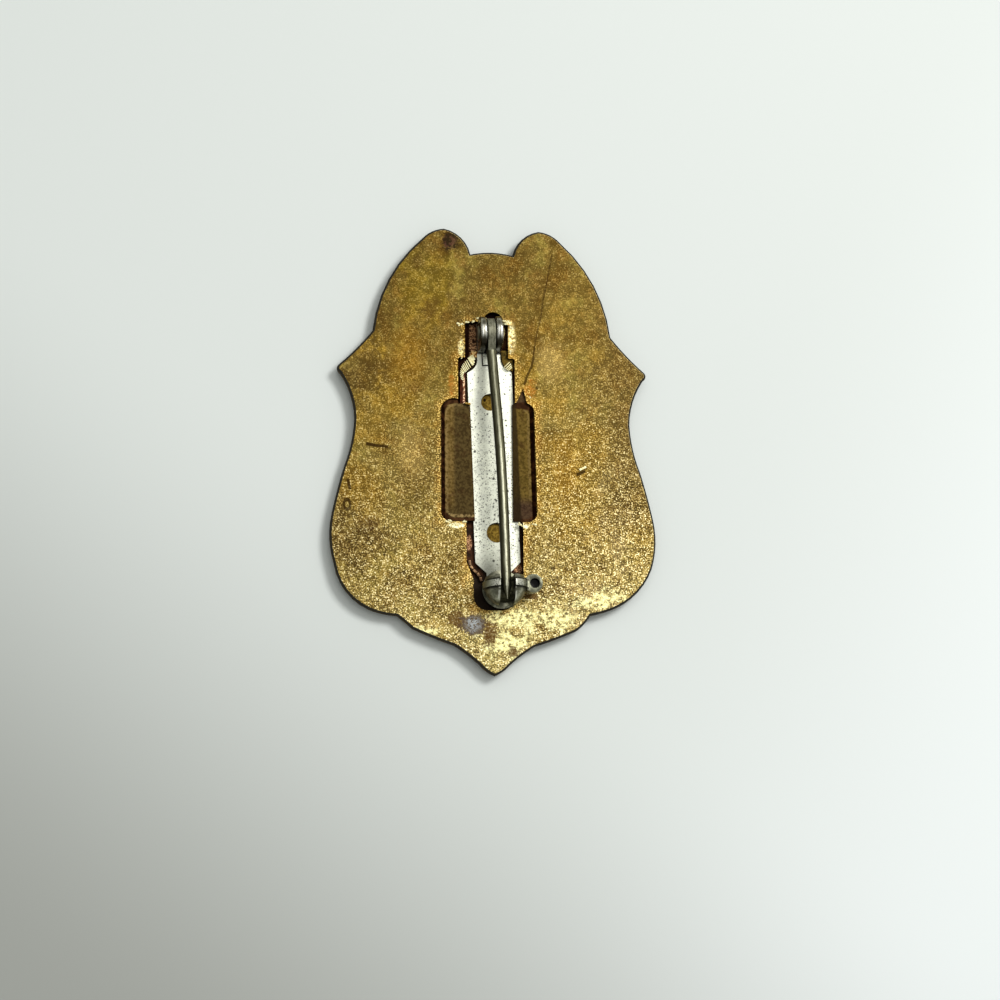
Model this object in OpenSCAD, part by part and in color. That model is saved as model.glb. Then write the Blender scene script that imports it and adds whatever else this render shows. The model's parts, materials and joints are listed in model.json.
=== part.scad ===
// Shield badge lying face down, with the pin assembly of its back on top.
// +X right and +Y top as the back is seen, +Z up out of the back, z = 0 on the front rim.

/* [Shield] */
// overall height, mm
shield_h = 57.15; // [40:0.05:80]
// overall width, mm
shield_w = 41.0; // [30:0.1:60]
// thickness from front rim to back face, mm
plate_t = 2.0; // [1.6:0.05:3]
// depth of the plain front field behind its rim, mm
field_d = 0.3; // [0:0.05:0.5]
// radius of the plain round panel in the front field, mm
panel_r = 9.5; // [5:0.5:13]
// steps in each arc of the outline
arc_steps = 6; // [3:1:12]

/* [Pocket] */
// depth of the pocket below the back face, mm
pocket_d = 1.25; // [0.8:0.05:1.5]
// depth of the swaged tabs below the back face, mm
tab_d = 0.42; // [0.2:0.02:0.6]
// width of the sloping outer wall of a tab, mm
tab_slope = 0.6; // [0.2:0.05:1]

/* [Pin bar] */
// width of the strip, mm
bar_w = 5.7; // [4:0.1:8]
// thickness of the strip and its ears, mm
bar_t = 0.5; // [0.3:0.05:0.8]
// turn of the whole pin assembly in the pocket, degrees
bar_turn = 2.07; // [-4:0.01:4]
// sideways place of the strip where it crosses the middle of the shield, mm
bar_x = 0.37; // [-1:0.01:1]
// radius of the upper hole, mm
hole_top_r = 1.08; // [0.6:0.01:1.5]
// radius of the lower hole, mm
hole_low_r = 1.25; // [0.6:0.01:1.5]

/* [Stem] */
// wire diameter, mm
wire_d = 1.26; // [0.8:0.02:1.6]
// thickness of the flattened eye, mm
eye_t = 0.94; // [0.6:0.02:1.2]
// height of the hinge axis above the back face, mm
pivot_h = 1.35; // [1.2:0.05:2]
// sideways place of the stem in the catch, mm
stem_lean = 0.4; // [0.1:0.02:0.5]
// height of the stem over the catch axis, mm
stem_lift = 0.4; // [-0.2:0.02:0.4]

/* [Safety catch] */
// sideways place of the catch on the strip, mm
catch_x = 0.3; // [-0.1:0.05:0.3]
// outer radius of the turning ring, mm
ring_r = 2.76; // [2.2:0.01:2.78]
// thickness of the turning ring, mm
ring_t = 0.8; // [0.4:0.02:0.9]
// height of the catch axis above the back face, mm
catch_h = 2.3; // [2.2:0.05:3]
// outer radius of the ball that holds the ring, mm
ball_r = 2.68; // [2.2:0.01:2.7]
// how far the ball reaches in front of the ring's middle, mm
ball_front = 1.1; // [0.8:0.05:1.6]

/* [Hidden] */
$fn = 64;

gap = 0.02;               // between pieces that rest on each other
lip_play = 0.03;          // between the strip and the lips over it
eps = 0.05;               // how far a cut runs past a face
plate_run = 30;           // half length of cuts that run past the shield
brass = [0.72, 0.56, 0.24];
nickel = [0.80, 0.80, 0.78];
steel = [0.55, 0.53, 0.46];
gunmetal = [0.38, 0.38, 0.36];

// outline: half of the shield as a chain of arcs, each [a point on it, its end]; t moves
// the lower corner out, for the left one stands a little further out than the right one
edge_start = [0, 25.62];
corner_trim = 0.35;
function edge_arcs(t) = [
    [[1.45, 25.52], [2.70, 25.30]],      // crown between the lobes
    [[3.82, 27.40], [6.05, 28.575]],     // inner side of the lobe
    [[7.60, 28.15], [8.83, 27.20]],      // top of the lobe
    [[12.88, 22.15], [15.15, 14.95]],    // upper side
    [[16.95, 12.85], [19.30, 10.55]],    // shoulder
    [[19.62, 10.00], [19.25, 9.40]],     // ear tip
    [[17.85, 6.40], [17.42, 3.60]],      // hollow under the ear
    [[17.82, 0.45], [18.72, -2.60]],     // waist
    [[19.52, -5.50], [20.22, -8.50]],    // flank
    [[20.50, -11.60], [19.95, -14.80]],  // belly
    [[18.15, -18.20] + t * [0.65, -0.6], [15.45, -20.18] + t * [0.4, -1]],  // lower belly
    [[13.80, -20.74] + t * [0.2, -0.9], [12.08, -21.06] + t * [0.1, -0.6]],  // lower corner
    [[11.22, -21.98], [10.25, -22.82]],  // foot lobe
    [[7.75, -23.88], [5.00, -24.86]],    // foot
    [[3.35, -26.00], [1.90, -27.20]],    // side of the point
    [[0.98, -28.05], [0, -28.575]]       // point
];
drawn_w = 41.0;
drawn_h = 57.15;

function arc_centre(a, b, c) =
    let (d = 2 * (a.x * (b.y - c.y) + b.x * (c.y - a.y) + c.x * (a.y - b.y)))
    [
        (a * a * (b.y - c.y) + b * b * (c.y - a.y) + c * c * (a.y - b.y)) / d,
        (a * a * (c.x - b.x) + b * b * (a.x - c.x) + c * c * (b.x - a.x)) / d
    ];
function wrapped(t) = t - 360 * floor((t + 180) / 360);
function arc_points(a, b, c) =
    let (
        m = arc_centre(a, b, c),
        t0 = atan2(a.y - m.y, a.x - m.x),
        t1 = wrapped(atan2(c.y - m.y, c.x - m.x) - t0)
    )
    [for (i = [1:arc_steps]) let (t = t0 + t1 * i / arc_steps) m + norm(a - m) * [cos(t), sin(t)]];
function half_edge(t) =
    let (arcs = edge_arcs(t))
    [
        for (i = [0:len(arcs) - 1])
            each arc_points(i == 0 ? edge_start : arcs[i - 1][1], arcs[i][0], arcs[i][1])
    ];
right_edge = half_edge(-corner_trim);
left_edge = half_edge(corner_trim);
full_edge = concat(
    [edge_start],
    right_edge,
    [for (i = [len(left_edge) - 2:-1:0]) [-left_edge[i].x, left_edge[i].y]]
);

// front
field_scale = [0.94, 0.955];
panel_y = -1;

// heights
floor_z = plate_t - pocket_d;
bar_z = floor_z + gap;
bar_top = bar_z + bar_t;
lip_z = bar_top + lip_play;
tab_z = plate_t - tab_d;
pivot_z = plate_t + pivot_h;
catch_z = plate_t + catch_h;

// pocket, measured from its own middle: x from, x to, y from, y to, corner radius
pocket_at = [-0.3, -0.07];
hinge_well = [-3.2, 2.3, 11.0, 16.55, 0.45];
shoulder_well = [-4.1, 3.12, 6.0, 11.85, 0.3];
lower_well = [-3.15, 4.0, -14.6, -9.0, 0.3];
catch_well = [-2.3, 2.2, -20.35, -15.5, 1.7];
crown_at = [0.42, 16.5];
crown_r = 1.32;
catch_round_at = [0.85, -17.2];
catch_round_r = 3.15;

// tabs and lips, measured from the same middle
tab_low = -9.2;
tab_high_left = 5.75;
tab_high_right = 6.1;
tab_turn_right = 1.1;     // the right tab leans with the strip
tab_out_left = -6.35;
tab_out_right = 5.68;
lip_left = -2.7;
lip_right = 2.82;
corner_r = 1.3;
arch_r = 1.76;            // crown of the left tab
arch_y = 4.8;
lip_over = 1.4;           // how far the cut of a tab runs past its lip
lip_room_low = -9.6;
lip_room_high = 6.8;
lip_side = 0.12;          // beside the strip under the lips
lip_low = -9.4;
lip_high = 6.5;
lip_lean_low = 0.33;      // the left lip leans with the strip
lip_lean_high = -0.22;
lug_h = 0.26;             // how far the staked brass stands over the strip
lug_right = [1.2, 3.0, 10.2, 12.95, 0.5];

// pin assembly, in its own turned frame
shoulder_top = 10.28;
shoulder_low = -14.2;
neck_w = 3.0;
shoulder_r = 1.7;
shoulder_y = 11.9;        // middle of the hollow over each shoulder
corner_bar = 0.3;
bead_gap = 0.06;
neck_low_y = -15.5;
bar_end_top = 16.3;
bar_heel_y = 12.6;        // where the strip narrows to the width over its ears
bar_end_low = -19.3;
tongue_w = 1.84;          // lanced tongue under the heel of the stem
tongue_y = 11.0;
tongue_l = 2.1;
slit = 0.14;
hole_top_x = -0.15;
hole_top_y = 6.3;
hole_low_y = -10.4;

pivot_y = 14.78;
ear_r = 2.05;
ear_in = 0.6;
ear_out = 1.42;
ear_heel = 1.65;          // how far the foot of an ear reaches behind the hinge axis
rivet_r = 0.5;
head_r = 1.1;             // domed head of the rivet
head_t = 0.4;
tail_r = 0.85;            // flat tail of the rivet
tail_t = 0.15;
eye_r = 1.8;
tang_y = 12.5;            // where the flattened end meets the round wire
tang_start = 0.5;
tang_half = 1.72;
tang_in = 0.04;
tang_lap = 0.15;
pin_play = 0.05;          // running play of the stem on its rivet

catch_y = -17.6;
slot_w = 1.9;
side_gap = 0.05;
collar_r = 1.78;
collar_l = 0.25;
ring_bore = 1.2;
mouth_angle = 90;         // where the mouth of the ring points at rest
foot_t = 0.2;
foot_r = 2.45;
stalk_r = 1.5;
stalk_top = -1.5;
reach = 4;                // half size of blocks that cut right through the catch
shell_r = 2.25;            // hollow in the rear of the ball
shell_y = -0.95;
lever_x = 3.45;
lever_y = 0.1;
lever_r = 1.15;
lever_t = 1.3;
lever_neck = 1.1;
lever_back = 0.1;
lever_root = 0.3;
dimple_x = 3.62;           // the blind hole lies off the middle of the lever
dimple_r = 0.62;
dimple_d = 1.0;
tip_y = -19.4;
point_l = 1.6;
point_d = 0.2;

module outline() {
    scale([shield_w / drawn_w, shield_h / drawn_h])
        polygon(full_edge);
}

module turned() {
    translate([bar_x, 0, 0])
        rotate([0, 0, bar_turn])
            children();
}

// frame of the pin assembly in the shield
module placed() {
    translate(pocket_at)
        turned()
            children();
}

// a box from corner to corner
module block(a, b) {
    translate(a)
        cube(b - a);
}

// rounded rectangle, b is x from, x to, y from, y to, corner radius
module slab(b) {
    r = b[4];
    translate([b[0] + r, b[2]])
        square([b[1] - b[0] - 2 * r, b[3] - b[2]]);
    translate([b[0], b[2] + r])
        square([b[1] - b[0], b[3] - b[2] - 2 * r]);
    for (x = [b[0] + r, b[1] - r], y = [b[2] + r, b[3] - r])
        translate([x, y])
            circle(r);
}

// the open pocket above its floor, outside the tabs
module pocket_shape() {
    slab(hinge_well);
    translate(crown_at)
        circle(crown_r);
    slab(shoulder_well);
    slab(lower_well);
    polygon([[-3.15, -14.2], [4.0, -14.2], [4.0, -17.2], [-2.3, -16.6]]);
    slab(catch_well);
    translate(catch_round_at)
        circle(catch_round_r);
}

// room for the strip under the lips of the tabs
module lip_room() {
    half = bar_w / 2 + lip_side;
    turned()
        block([-half, lip_room_low, floor_z], [half, lip_room_high, lip_z]);
}

module lip_opening() {
    translate([0, 0, floor_z])
        linear_extrude(pocket_d + eps)
            polygon([
                [bar_x + lip_left + lip_lean_low, lip_low],
                [lip_right, lip_low],
                [lip_right, lip_high],
                [bar_x + lip_left + lip_lean_high, lip_high]
            ]);
}

// swaged tab: flat floor with a sloping outer wall
module tab_cut(x_in, x_out, high) {
    intersection() {
        translate([0, 0, floor_z])
            linear_extrude(plate_t)
                slab([min(x_in, x_out), max(x_in, x_out), tab_low, high, corner_r]);
        sloping(x_in, x_out);
    }
}

// room over the floor of a tab, any length
module sloping(x_in, x_out) {
    side = sign(x_out);
    translate([0, plate_run, 0])
        rotate([90, 0, 0])
            linear_extrude(2 * plate_run)
                polygon([
                    [x_in, tab_z],
                    [x_out - side * tab_slope, tab_z],
                    [x_out, plate_t],
                    [x_out, plate_t + eps],
                    [x_in, plate_t + eps]
                ]);
}

module tab_arch() {
    intersection() {
        translate([tab_out_left + arch_r, arch_y, floor_z])
            cylinder(h = plate_t, r = arch_r);
        sloping(lip_left + lip_over, tab_out_left);
    }
}

// pointed notch over the right tab
module tab_notch() {
    translate([0, 0, tab_z])
        linear_extrude(plate_t)
            polygon([
                [4.15, 8.05], [3.5, 6.6], [3.05, 5.8], [3.0, 5.0],
                [4.9, 5.0], [4.62, 6.15], [4.4, 7.06]
            ]);
}

// brass staked up against the shoulders of the strip
module lug_shape() {
    difference() {
        union() {
            polygon([
                [-3.78, 5.9], [-3.78, 9.9], [-3.6, 10.75], [-3.25, 11.35], [-2.75, 11.75],
                [-2.5, 12.15], [-2.35, 12.75], [-1, 12.75], [-1, 9.5], [-2.4, 5.9]
            ]);
            slab(lug_right);
        }
        turned()
            bar_outline(bead_gap);
    }
}

module lugs() {
    translate([0, 0, floor_z - eps])
        linear_extrude(lip_z + lug_h - floor_z + eps)
            lug_shape();
}

// everything that is cut into the back
module back_cuts() {
    translate([0, 0, floor_z])
        linear_extrude(pocket_d + eps)
            pocket_shape();
    lip_room();
    lip_opening();
    tab_cut(lip_left + lip_over, tab_out_left, tab_high_left);
    tab_arch();
    rotate([0, 0, tab_turn_right])
        tab_cut(lip_right - lip_over, tab_out_right, tab_high_right);
    tab_notch();
}

module front_field() {
    difference() {
        translate([0, 0, -eps])
            linear_extrude(field_d + eps)
                scale(field_scale)
                    outline();
        translate([0, panel_y, -2 * eps])
            cylinder(h = field_d + 3 * eps, r = panel_r);
    }
}

module badge_plate() {
    color(brass) {
        difference() {
            linear_extrude(plate_t)
                outline();
            front_field();
            translate(pocket_at)
                back_cuts();
        }
        translate(pocket_at)
            lugs();
    }
}

// outline of the strip, grown all round by g
module bar_outline(g) {
    body = bar_w / 2 + g;
    neck = neck_w / 2 + g;
    slab([-body, body, shoulder_low - g, shoulder_top + g, corner_bar]);
    heel = ear_out + g;
    translate([-neck, bar_end_low - g])
        square([2 * neck, bar_heel_y - bar_end_low + g]);
    translate([-heel, bar_heel_y - eps])
        square([2 * heel, bar_end_top - bar_heel_y + eps + g]);
    polygon([
        [-body, shoulder_low + corner_bar], [body, shoulder_low + corner_bar], [body, shoulder_low],
        [neck, neck_low_y], [-neck, neck_low_y], [-body, shoulder_low]
    ]);
    difference() {
        translate([corner_bar - body, shoulder_top - eps])
            square([2 * (body - corner_bar), shoulder_y - shoulder_top + eps]);
        for (side = [-1, 1])
            translate([side * (neck_w / 2 + shoulder_r), shoulder_y])
                circle(shoulder_r - g);
    }
}

module bar_shape() {
    difference() {
        bar_outline(0);
        difference() {
            translate([-tongue_w / 2, tongue_y])
                square([tongue_w, tongue_l]);
            translate([-tongue_w / 2 + slit, tongue_y + slit])
                square([tongue_w - 2 * slit, tongue_l]);
        }
        translate([hole_top_x, hole_top_y])
            circle(hole_top_r);
        translate([0, hole_low_y])
            circle(hole_low_r);
    }
}

// one hinge ear, flat against x = 0
module ear() {
    rotate([90, 0, 90])
        linear_extrude(ear_out - ear_in)
            difference() {
                union() {
                    translate([pivot_y, pivot_z])
                        circle(ear_r);
                    translate([pivot_y - ear_r, bar_z])
                        square([ear_r + ear_heel, pivot_z - bar_z]);
                }
                translate([pivot_y, pivot_z])
                    circle(rivet_r + gap);
            }
}

module pin_bar() {
    color(nickel)
        placed() {
            translate([0, 0, bar_z])
                linear_extrude(bar_t)
                    bar_shape();
            translate([ear_in, 0, 0])
                ear();
            translate([-ear_out, 0, 0])
                ear();
        }
}

module hinge_rivet() {
    dome_r = (head_r * head_r + head_t * head_t) / (2 * head_t);
    color(gunmetal)
        placed()
            translate([0, pivot_y, pivot_z])
                rotate([0, 90, 0]) {
                    translate([0, 0, -ear_out - gap - tail_t])
                        cylinder(h = 2 * ear_out + 2 * gap + tail_t + eps, r = rivet_r);
                    translate([0, 0, -ear_out - gap - tail_t])
                        cylinder(h = tail_t, r = tail_r);
                    intersection() {
                        translate([0, 0, ear_out + gap + head_t - dome_r])
                            sphere(dome_r);
                        translate([0, 0, ear_out + gap])
                            cylinder(h = head_t + eps, r = dome_r);
                    }
                }
}

module pin_stem() {
    rise = atan2(catch_z + stem_lift - pivot_z, pivot_y - catch_y);
    lean = atan2(stem_lean, pivot_y - catch_y);
    root = pivot_y - tang_y;
    run = pivot_y - tip_y;
    half = wire_d / 2 - tang_in;
    tang_end = root + tang_lap;
    color(steel)
        placed()
            translate([0, pivot_y, pivot_z]) {
                difference() {
                    rotate([-rise, 0, 0])
                        rotate([90, 0, 90])
                            linear_extrude(eye_t, center = true) {
                                circle(eye_r);
                                polygon([
                                    [-tang_start, tang_half], [-tang_end, half],
                                    [-tang_end, -half], [-tang_start, -tang_half]
                                ]);
                            }
                    rotate([0, 90, 0])
                        cylinder(h = 3 * eye_t, r = rivet_r + pin_play, center = true);
                }
                rotate([90 - rise, 0, 0])
                    rotate([0, lean, 0]) {
                        translate([0, 0, root])
                            cylinder(h = run - root - point_l, d = wire_d);
                        translate([0, 0, run - point_l])
                            cylinder(h = point_l, d1 = wire_d, d2 = point_d);
                    }
            }
}

// frame of the catch: its axis along y through the origin
module at_catch() {
    placed()
        translate([catch_x, catch_y, catch_z])
            children();
}

module catch_housing() {
    start = ring_t / 2 + side_gap;
    foot_low = bar_top + gap - catch_z;
    color(gunmetal)
        at_catch()
            difference() {
                union() {
                    intersection() {
                        sphere(ball_r);
                        block([-reach, -reach, -reach], [reach, ball_front, reach]);
                    }
                    translate([0, 0, foot_low])
                        cylinder(h = foot_t, r = foot_r);
                    intersection() {
                        translate([0, 0, foot_low])
                            cylinder(h = stalk_top - foot_low, r = stalk_r);
                        block([-reach, -reach, -reach], [reach, ball_front, reach]);
                    }
                }
                block([-reach, -start, foot_low + foot_t], [reach, start, reach]);
                rotate([90, 0, 0])
                    cylinder(h = 2 * (start + collar_l + side_gap), r = collar_r + side_gap, center = true);
                rotate([90, 0, 0])
                    cylinder(h = 2 * reach, r = slot_w / 2, center = true);
                block([-slot_w / 2, -reach, 0], [slot_w / 2, reach, reach]);
                intersection() {
                    sphere(shell_r);
                    block([-reach, -reach, -reach], [reach, shell_y, reach]);
                }
            }
}

module catch_lock() {
    lever_end = lever_x - lever_back;
    color(gunmetal)
        at_catch() {
            rotate([90, 0, 0])
                linear_extrude(ring_t, center = true)
                    ring_shape(ring_r);
            rotate([90, 0, 0])
                linear_extrude(ring_t + 2 * collar_l, center = true)
                    ring_shape(collar_r);
            difference() {
                union() {
                    difference() {
                        translate([lever_x, lever_y, -lever_t / 2])
                            cylinder(h = lever_t, r = lever_r);
                        sphere(ball_r + side_gap);
                    }
                    translate([0, 0, -lever_t / 2])
                        linear_extrude(lever_t)
                            polygon([
                                [ring_r - lever_root, ring_t / 2], [ring_r, ring_t / 2],
                                [lever_end, lever_y + lever_neck], [lever_end, lever_y - lever_neck],
                                [ring_r, -ring_t / 2], [ring_r - lever_root, -ring_t / 2]
                            ]);
                }
                translate([dimple_x, lever_y, lever_t / 2 - dimple_d])
                    cylinder(h = lever_t, r = dimple_r);
            }
        }
}

// ring with its mouth, drawn in the plane that becomes x and z
module ring_shape(r) {
    difference() {
        circle(r);
        circle(ring_bore);
        rotate(mouth_angle)
            translate([0, -slot_w / 2])
                square([reach, slot_w]);
    }
}

badge_plate();
pin_bar();
hinge_rivet();
pin_stem();
catch_housing();
catch_lock();
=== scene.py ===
import bmesh
import bpy
import json
import math
import random
from mathutils import Matrix, Vector

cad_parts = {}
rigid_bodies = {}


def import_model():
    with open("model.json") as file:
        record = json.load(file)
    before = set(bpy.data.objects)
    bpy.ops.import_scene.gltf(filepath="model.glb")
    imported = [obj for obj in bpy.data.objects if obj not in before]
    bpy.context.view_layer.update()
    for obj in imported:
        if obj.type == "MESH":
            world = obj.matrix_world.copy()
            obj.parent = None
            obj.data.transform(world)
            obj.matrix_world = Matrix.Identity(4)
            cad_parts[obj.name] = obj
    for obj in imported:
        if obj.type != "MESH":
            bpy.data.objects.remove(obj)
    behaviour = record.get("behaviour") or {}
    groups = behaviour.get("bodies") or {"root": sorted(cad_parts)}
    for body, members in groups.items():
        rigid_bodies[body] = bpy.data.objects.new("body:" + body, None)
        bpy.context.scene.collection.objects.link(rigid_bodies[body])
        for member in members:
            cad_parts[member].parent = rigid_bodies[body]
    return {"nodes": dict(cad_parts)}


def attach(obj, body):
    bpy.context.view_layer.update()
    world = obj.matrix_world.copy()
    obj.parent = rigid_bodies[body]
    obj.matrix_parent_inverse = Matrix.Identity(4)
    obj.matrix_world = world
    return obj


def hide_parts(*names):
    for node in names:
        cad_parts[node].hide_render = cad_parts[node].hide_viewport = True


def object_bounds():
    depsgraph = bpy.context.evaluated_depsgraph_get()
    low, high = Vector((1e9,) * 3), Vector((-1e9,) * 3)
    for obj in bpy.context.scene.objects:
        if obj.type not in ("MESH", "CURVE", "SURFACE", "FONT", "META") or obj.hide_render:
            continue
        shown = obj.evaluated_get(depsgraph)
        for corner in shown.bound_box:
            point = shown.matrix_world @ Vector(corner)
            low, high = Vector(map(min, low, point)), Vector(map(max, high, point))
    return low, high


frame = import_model()
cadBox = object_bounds()
nodes = frame["nodes"]
mm = 0.001
# half of the shield's width and height, and the height of its back over its front, in mm
badge = {"halfWidth": cadBox[1][0] / mm, "halfHeight": cadBox[1][1] / mm, "back": 2.0}
# middle of the pocket; how far right of it the strip lies there, and how much further left for each mm up
pocket = {"x": -0.3, "y": -0.07, "strip": 0.37, "slope": 0.03614}
print("frame loaded:", ", ".join(sorted(nodes)))


def linear(red, green, blue):
    # screen colour 0 to 255 to the linear values that a socket takes
    shares = [value / 255 for value in (red, green, blue)]
    values = [v / 12.92 if v <= 10 / 255 else ((v + 0.055) / 1.055) ** 2.4 for v in shares]
    return (*values, 1.0)


class Amount:
    # a number that varies over a surface: wraps a socket so that sums of masks read as maths
    def __init__(self, paint, socket):
        self.paint = paint
        self.socket = socket

    def join(self, operation, a, b=None):
        values = {0: a} if b is None else {0: a, 1: b}
        made = self.paint.node("ShaderNodeMath", {"operation": operation}, values)
        return Amount(self.paint, made.outputs[0])

    def __add__(self, other):
        return self.join("ADD", self, other)

    def __radd__(self, other):
        return self.join("ADD", other, self)

    def __sub__(self, other):
        return self.join("SUBTRACT", self, other)

    def __rsub__(self, other):
        return self.join("SUBTRACT", other, self)

    def __mul__(self, other):
        return self.join("MULTIPLY", self, other)

    def __rmul__(self, other):
        return self.join("MULTIPLY", other, self)

    def __truediv__(self, other):
        return self.join("DIVIDE", self, other)

    def __rtruediv__(self, other):
        return self.join("DIVIDE", other, self)

    def __pow__(self, other):
        return self.join("POWER", self, other)

    def __rpow__(self, other):
        return self.join("POWER", other, self)

    def __abs__(self):
        return self.join("ABSOLUTE", self)

    def least(self, other):
        return self.join("MINIMUM", self, other)

    def most(self, other):
        return self.join("MAXIMUM", self, other)

    def root(self):
        return self.join("SQRT", self)

    def rise(self, low, high):
        # 0 below low, 1 above high, smooth between; low above high makes it fall
        start, end = (1.0, 0.0) if low > high else (0.0, 1.0)
        values = {"Value": self, "From Min": min(low, high), "From Max": max(low, high),
                  "To Min": start, "To Max": end}
        made = self.paint.node("ShaderNodeMapRange", {"interpolation_type": "SMOOTHSTEP"}, values)
        return Amount(self.paint, made.outputs[0])


class Paint:
    # one material and its nodes, in millimetres from the middle of the pocket
    def __init__(self, name):
        self.material = bpy.data.materials.new(name)
        self.material.use_nodes = True
        self.tree = self.material.node_tree
        self.shader = self.tree.nodes["Principled BSDF"]
        spot = self.node("ShaderNodeTexCoord")
        inMm = {0: spot.outputs["Object"], "Scale": 1.0 / mm}
        self.place = self.node("ShaderNodeVectorMath", {"operation": "SCALE"}, inMm).outputs[0]
        apart = self.node("ShaderNodeSeparateXYZ", {}, {0: self.place})
        away = (pocket["x"], pocket["y"], 0.0)
        self.x, self.y, self.z = (Amount(self, apart.outputs[i]) - away[i] for i in range(3))
        facing = self.node("ShaderNodeSeparateXYZ", {}, {0: spot.outputs["Normal"]})
        self.faceX, self.faceY, self.faceZ = (Amount(self, facing.outputs[i]) for i in range(3))

    def node(self, kind, settings=None, values=None):
        made = self.tree.nodes.new(kind)
        for key, value in (settings or {}).items():
            if key == "stops":
                self.setStops(made.color_ramp, value)
            else:
                setattr(made, key, value)
        for key, value in (values or {}).items():
            self.feed(made.inputs[key], value)
        return made

    def setStops(self, ramp, stops):
        # place and colour of each stop
        while len(ramp.elements) > 1:
            ramp.elements.remove(ramp.elements[-1])
        ramp.elements[0].position, ramp.elements[0].color = stops[0]
        for place, colour in stops[1:]:
            ramp.elements.new(place).color = colour

    def feed(self, socket, value):
        # links what varies and sets what doesn't
        if isinstance(value, Amount):
            self.tree.links.new(value.socket, socket)
        elif isinstance(value, bpy.types.NodeSocket):
            self.tree.links.new(value, socket)
        else:
            socket.default_value = value

    def noise(self, perMm, detail, roughness, stretch=None):
        # a cloudy amount around 0.5; a stretch under 1 draws its clouds out
        where = self.place
        if stretch:
            values = {0: where, 1: stretch}
            where = self.node("ShaderNodeVectorMath", {"operation": "MULTIPLY"}, values).outputs[0]
        values = {"Vector": where, "Scale": perMm, "Detail": detail, "Roughness": roughness}
        return Amount(self, self.node("ShaderNodeTexNoise", {}, values).outputs["Fac"])

    def cells(self, perMm):
        # distance from the nearest of many scattered points, and a chance value of that point
        made = self.node("ShaderNodeTexVoronoi", {}, {"Vector": self.place, "Scale": perMm})
        apart = self.node("ShaderNodeSeparateXYZ", {}, {0: made.outputs["Color"]})
        return Amount(self, made.outputs["Distance"]), Amount(self, apart.outputs[0])

    def blend(self, amount, under, over):
        # under and over are screen colours or the colours of other nodes
        values = {"Factor": amount}
        for key, colour in ((6, under), (7, over)):
            values[key] = linear(*colour) if isinstance(colour, tuple) else colour
        return self.node("ShaderNodeMix", {"data_type": "RGBA"}, values).outputs[2]

    def shade(self, amount, colour):
        # darkens or lightens a colour by a varying amount: 1 keeps it
        grey = self.node("ShaderNodeCombineXYZ", {}, {0: amount, 1: amount, 2: amount}).outputs[0]
        settings = {"data_type": "RGBA", "blend_type": "MULTIPLY"}
        return self.node("ShaderNodeMix", settings, {"Factor": 1.0, 6: colour, 7: grey}).outputs[2]

    def line(self, x0, y0, x1, y1, width):
        # 1 on a straight mark between two places, 0 off it
        length = math.hypot(x1 - x0, y1 - y0)
        ux, uy = (x1 - x0) / length, (y1 - y0) / length
        along = (self.x - x0) * ux + (self.y - y0) * uy
        across = abs((self.x - x0) * -uy + (self.y - y0) * ux)
        past = (0.0 - along).most(along - length).most(0.0)
        return across.most(past).rise(width, width * 0.35)

    def ovalFar(self, x, y, rx, ry):
        # 1 on the edge of an upright oval, less inside it
        return (((self.x - x) / rx) ** 2.0 + ((self.y - y) / ry) ** 2.0).root()

    def nearest(self, ovals):
        # the least ovalFar of several ovals
        far = self.ovalFar(*ovals[0])
        for oval in ovals[1:]:
            far = far.least(self.ovalFar(*oval))
        return far

    def spotAt(self, x, y, rx, ry, soft=0.5):
        # 1 inside an upright oval, fading over its outer part
        return self.ovalFar(x, y, rx, ry).rise(1.0, 1.0 - soft)

    def boxFar(self, x0, x1, y0, y1):
        # how far a point is outside an upright box, in millimetres
        dx = (x0 - self.x).most(self.x - x1).most(0.0)
        dy = (y0 - self.y).most(self.y - y1).most(0.0)
        return (dx * dx + dy * dy).root()

    def insideBox(self, across, along, box, r):
        # how far a point is inside a rounded box: x from, x to, y from, y to
        x0, x1, y0, y1 = box
        qx = abs(across - (x0 + x1) / 2) - ((x1 - x0) / 2 - r)
        qy = abs(along - (y0 + y1) / 2) - ((y1 - y0) / 2 - r)
        ox, oy = qx.most(0.0), qy.most(0.0)
        return r - (ox * ox + oy * oy).root() - qx.most(qy).least(0.0)

    def finish(self, colour, metallic, roughness, height=None, strength=0.2, depth=0.03):
        # height makes bumps that stand depth mm high at most
        for name, value in (("Base Color", colour), ("Metallic", metallic), ("Roughness", roughness)):
            self.feed(self.shader.inputs[name], value)
        if height is not None:
            values = {"Strength": strength, "Distance": depth * mm, "Height": height}
            self.feed(self.shader.inputs["Normal"], self.node("ShaderNodeBump", {}, values).outputs[0])
        return self.material


def only(*objects):
    # selects just these, with the last one active
    bpy.ops.object.select_all(action="DESELECT")
    for each in objects:
        each.select_set(True)
    bpy.context.view_layer.objects.active = objects[-1]


def copyOf(nodeName, pieceName):
    # own merged copy of a CAD node, free to be shaped
    only(nodes[nodeName])
    bpy.ops.object.duplicate()
    piece = bpy.context.active_object
    piece.name = piece.data.name = pieceName
    piece.data.materials.clear()
    bpy.ops.object.parent_clear(type="CLEAR_KEEP_TRANSFORM")
    bpy.ops.object.mode_set(mode="EDIT")
    bpy.ops.mesh.select_all(action="SELECT")
    bpy.ops.mesh.remove_doubles(threshold=0.002 * mm)
    bpy.ops.mesh.dissolve_limited(angle_limit=math.radians(0.5))
    bpy.ops.object.mode_set(mode="OBJECT")
    return piece


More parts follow.
